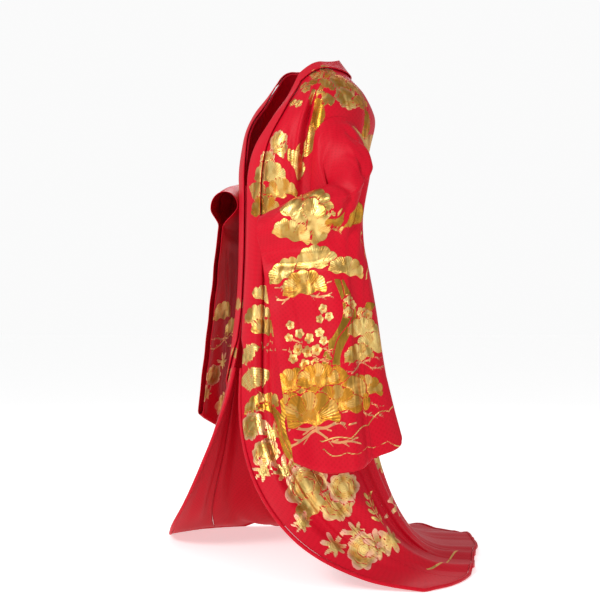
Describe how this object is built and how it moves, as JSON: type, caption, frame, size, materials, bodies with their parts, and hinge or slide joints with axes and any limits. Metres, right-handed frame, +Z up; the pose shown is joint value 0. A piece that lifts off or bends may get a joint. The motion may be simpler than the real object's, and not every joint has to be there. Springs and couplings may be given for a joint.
{
  "type": "uchikake wedding kimono",
  "caption": "Long open over-kimono with hanging sleeves and a padded train, in its worn hollow form.",
  "frame": {"origin": "base of the wearer's neck, midway between the shoulders, where the garment is held up", "axes": "+Z up, the garment faces -Y, +X towards the wearer's left; the floor under the train is at z = -1.34"},
  "size_m": [1.0748, 0.874, 1.4053],
  "materials": {
    "figured_silk": "satin",
    "plain_silk": "satin"
  },
  "bodies": {
    "root": {"body_left": "figured_silk", "okumi_left": "figured_silk", "lining_left": "plain_silk", "lining_okumi_left": "plain_silk", "sleeve_left": "figured_silk", "hem_roll_left": "plain_silk", "body_right": "figured_silk", "okumi_right": "figured_silk", "lining_right": "plain_silk", "lining_okumi_right": "plain_silk", "sleeve_right": "figured_silk", "hem_roll_right": "plain_silk", "collar": "figured_silk"}
  },
  "joints": []
}
